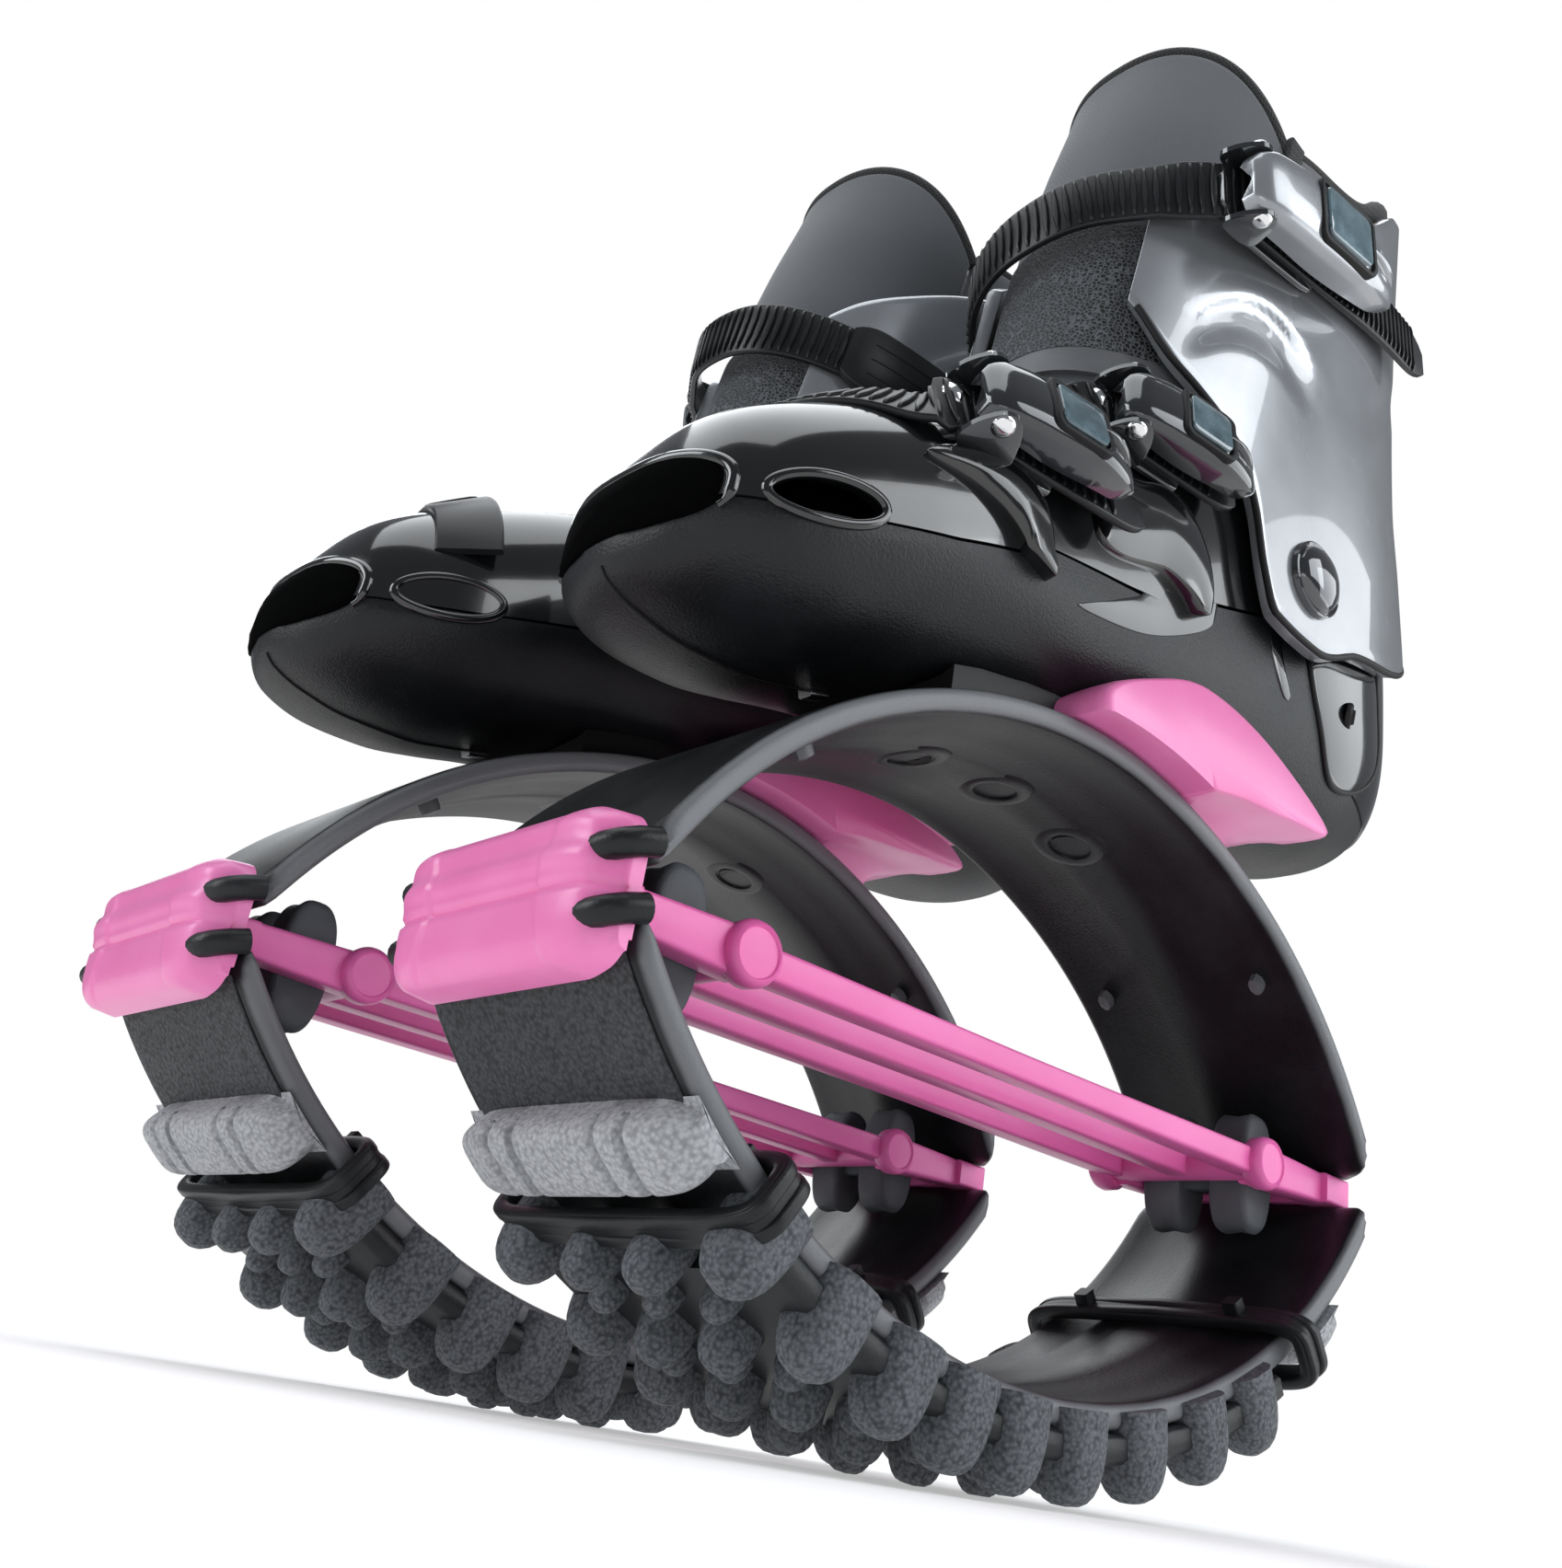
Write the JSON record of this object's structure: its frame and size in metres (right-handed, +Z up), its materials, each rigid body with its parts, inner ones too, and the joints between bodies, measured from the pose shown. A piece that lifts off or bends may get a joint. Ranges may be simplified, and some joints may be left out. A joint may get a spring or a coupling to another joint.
{
  "type": "rebound boots",
  "caption": "Pair of buckled hard-shell boots, each on a springy oval of two arcs with a lugged rubber tread, for bouncing and running.",
  "frame": {"origin": "centre of the pair's bounding box, on the floor under the treads", "axes": "+Z up, toes point to -X, heels to +X; the wearer's left boot is on the -Y side in the frame and the right boot on the +Y side"},
  "size_m": [0.3458, 0.2518, 0.468],
  "materials": {
    "spring_composite": "moulded glass-filled composite, satin black",
    "tread_rubber": "pebbled dark grey rubber",
    "clamp_plastic": "satin black plastic",
    "pink_elastomer": "smooth pink elastomer",
    "pink_shell": "pink moulded plastic, soft gloss",
    "bumper_rubber": "dark grey rubber",
    "shell_satin": "satin black moulded plastic",
    "shell_gloss": "high gloss black plastic",
    "liner_cloth": "smooth grey padded cloth",
    "footbed_foam": "dark grey cloth-covered foam",
    "cuff_gloss": "gloss gunmetal plastic",
    "rivet_gloss": "gloss black rivet cap",
    "buckle_plastic": "gloss black plastic",
    "strap_plastic": "black moulded strap plastic",
    "tab_smoke": "smoky blue-grey plastic"
  },
  "bodies": {
    "left_sole": {"left_lower_arc": "spring_composite", "left_tread_sole": "tread_rubber", "left_front_clamp": "clamp_plastic", "left_rear_clamp": "clamp_plastic"},
    "left_spring": {"left_tension_spring": "pink_elastomer", "left_front_hinge_cap": "pink_shell", "left_front_bumpers": "bumper_rubber", "left_rear_bumpers": "bumper_rubber"},
    "left_boot": {"left_upper_arc": "spring_composite", "left_mount_plate": "clamp_plastic", "left_heel_saddle": "pink_shell", "left_lower_shell": "shell_satin", "left_upper_shell": "shell_gloss", "left_liner": "liner_cloth", "left_tongue": "liner_cloth", "left_footbed": "footbed_foam", "left_forefoot_ladder_strap": "strap_plastic", "left_forefoot_buckle_base": "buckle_plastic", "left_instep_ladder_strap": "strap_plastic", "left_instep_buckle_base": "buckle_plastic"},
    "left_cuff": {"left_cuff": "cuff_gloss", "left_cuff_rivet": "rivet_gloss", "left_top_ladder_strap": "strap_plastic", "left_top_buckle_base": "buckle_plastic"},
    "left_forefoot_lever": {"left_forefoot_buckle_lever": "buckle_plastic"},
    "left_forefoot_tab": {"left_forefoot_release_tab": "tab_smoke"},
    "left_instep_lever": {"left_instep_buckle_lever": "buckle_plastic"},
    "left_instep_tab": {"left_instep_release_tab": "tab_smoke"},
    "left_top_lever": {"left_top_buckle_lever": "buckle_plastic"},
    "left_top_tab": {"left_top_release_tab": "tab_smoke"},
    "right_sole": {"right_lower_arc": "spring_composite", "right_tread_sole": "tread_rubber", "right_front_clamp": "clamp_plastic", "right_rear_clamp": "clamp_plastic"},
    "right_spring": {"right_tension_spring": "pink_elastomer", "right_front_hinge_cap": "pink_shell", "right_front_bumpers": "bumper_rubber", "right_rear_bumpers": "bumper_rubber"},
    "right_boot": {"right_upper_arc": "spring_composite", "right_mount_plate": "clamp_plastic", "right_heel_saddle": "pink_shell", "right_lower_shell": "shell_satin", "right_upper_shell": "shell_gloss", "right_liner": "liner_cloth", "right_tongue": "liner_cloth", "right_footbed": "footbed_foam", "right_forefoot_ladder_strap": "strap_plastic", "right_forefoot_buckle_base": "buckle_plastic", "right_instep_ladder_strap": "strap_plastic", "right_instep_buckle_base": "buckle_plastic"},
    "right_cuff": {"right_cuff": "cuff_gloss", "right_cuff_rivet": "rivet_gloss", "right_top_ladder_strap": "strap_plastic", "right_top_buckle_base": "buckle_plastic"},
    "right_forefoot_lever": {"right_forefoot_buckle_lever": "buckle_plastic"},
    "right_forefoot_tab": {"right_forefoot_release_tab": "tab_smoke"},
    "right_instep_lever": {"right_instep_buckle_lever": "buckle_plastic"},
    "right_instep_tab": {"right_instep_release_tab": "tab_smoke"},
    "right_top_lever": {"right_top_buckle_lever": "buckle_plastic"},
    "right_top_tab": {"right_top_release_tab": "tab_smoke"}
  },
  "joints": [
    {"name": "left_lower_press", "type": "slide", "parent": "left_sole", "child": "left_spring", "axis": [0, 0, -1], "range_m": [0, 0.016], "stiffness_N_per_m": 40000, "deforming": ["left_lower_arc"]},
    {"name": "left_upper_press", "type": "slide", "parent": "left_spring", "child": "left_boot", "axis": [0, 0, -1], "range_m": [0, 0.016], "stiffness_N_per_m": 40000, "deforming": ["left_upper_arc"]},
    {"name": "left_cuff_flex", "type": "hinge", "parent": "left_boot", "child": "left_cuff", "pos_m": [0.07393, -0.05875, 0.263], "axis": [0, 1, 0], "range_deg": [-12, 3], "stiffness_Nm_per_rad": 40, "deforming": ["left_liner", "left_tongue"]},
    {"name": "left_forefoot_lever_hinge", "type": "hinge", "parent": "left_boot", "child": "left_forefoot_lever", "pos_m": [-0.07387, -0.10999, 0.2377], "axis": [-0.0898, -0.3439, -0.9347], "range_deg": [0, 95]},
    {"name": "left_forefoot_tab_hinge", "type": "hinge", "parent": "left_forefoot_lever", "child": "left_forefoot_tab", "pos_m": [-0.04653, -0.11995, 0.23874], "axis": [0.0898, 0.3439, 0.9347], "range_deg": [0, 15], "stiffness_Nm_per_rad": 0.05},
    {"name": "left_instep_lever_hinge", "type": "hinge", "parent": "left_boot", "child": "left_instep_lever", "pos_m": [-0.01286, -0.10285, 0.27664], "axis": [-0.1706, -0.2214, -0.9601], "range_deg": [0, 95]},
    {"name": "left_instep_tab_hinge", "type": "hinge", "parent": "left_instep_lever", "child": "left_instep_tab", "pos_m": [0.01366, -0.1147, 0.27466], "axis": [0.1706, 0.2214, 0.9601], "range_deg": [0, 15], "stiffness_Nm_per_rad": 0.05},
    {"name": "left_top_lever_hinge", "type": "hinge", "parent": "left_cuff", "child": "left_top_lever", "pos_m": [0.01759, -0.11882, 0.36705], "axis": [0.1386, 0, -0.9903], "range_deg": [0, 95]},
    {"name": "left_top_tab_hinge", "type": "hinge", "parent": "left_top_lever", "child": "left_top_tab", "pos_m": [0.06606, -0.12496, 0.37384], "axis": [-0.1386, 0, 0.9903], "range_deg": [0, 15], "stiffness_Nm_per_rad": 0.05},
    {"name": "right_lower_press", "type": "slide", "parent": "right_sole", "child": "right_spring", "axis": [0, 0, -1], "range_m": [0, 0.016], "stiffness_N_per_m": 40000, "deforming": ["right_lower_arc"]},
    {"name": "right_upper_press", "type": "slide", "parent": "right_spring", "child": "right_boot", "axis": [0, 0, -1], "range_m": [0, 0.016], "stiffness_N_per_m": 40000, "deforming": ["right_upper_arc"]},
    {"name": "right_cuff_flex", "type": "hinge", "parent": "right_boot", "child": "right_cuff", "pos_m": [0.04993, 0.05875, 0.263], "axis": [0, 1, 0], "range_deg": [-12, 3], "stiffness_Nm_per_rad": 40, "deforming": ["right_liner", "right_tongue"]},
    {"name": "right_forefoot_lever_hinge", "type": "hinge", "parent": "right_boot", "child": "right_forefoot_lever", "pos_m": [-0.09787, 0.10999, 0.2377], "axis": [0.0898, -0.3439, 0.9347], "range_deg": [0, 95]},
    {"name": "right_forefoot_tab_hinge", "type": "hinge", "parent": "right_forefoot_lever", "child": "right_forefoot_tab", "pos_m": [-0.07053, 0.11995, 0.23874], "axis": [-0.0898, 0.3439, -0.9347], "range_deg": [0, 15], "stiffness_Nm_per_rad": 0.05},
    {"name": "right_instep_lever_hinge", "type": "hinge", "parent": "right_boot", "child": "right_instep_lever", "pos_m": [-0.03686, 0.10285, 0.27664], "axis": [0.1706, -0.2214, 0.9601], "range_deg": [0, 95]},
    {"name": "right_instep_tab_hinge", "type": "hinge", "parent": "right_instep_lever", "child": "right_instep_tab", "pos_m": [-0.01034, 0.1147, 0.27466], "axis": [-0.1706, 0.2214, -0.9601], "range_deg": [0, 15], "stiffness_Nm_per_rad": 0.05},
    {"name": "right_top_lever_hinge", "type": "hinge", "parent": "right_cuff", "child": "right_top_lever", "pos_m": [-0.00641, 0.11882, 0.36705], "axis": [-0.1386, 0, 0.9903], "range_deg": [0, 95]},
    {"name": "right_top_tab_hinge", "type": "hinge", "parent": "right_top_lever", "child": "right_top_tab", "pos_m": [0.04206, 0.12496, 0.37384], "axis": [0.1386, 0, -0.9903], "range_deg": [0, 15], "stiffness_Nm_per_rad": 0.05},
    {"name": "right_boot_lift", "type": "slide", "parent": "left_sole", "child": "right_sole", "axis": [0, 0, 1], "range_m": [0, 0.15]}
  ],
  "couplings": [
    {"joint": "left_upper_press", "follows": "left_lower_press", "ratio": 1},
    {"joint": "right_upper_press", "follows": "right_lower_press", "ratio": 1}
  ]
}
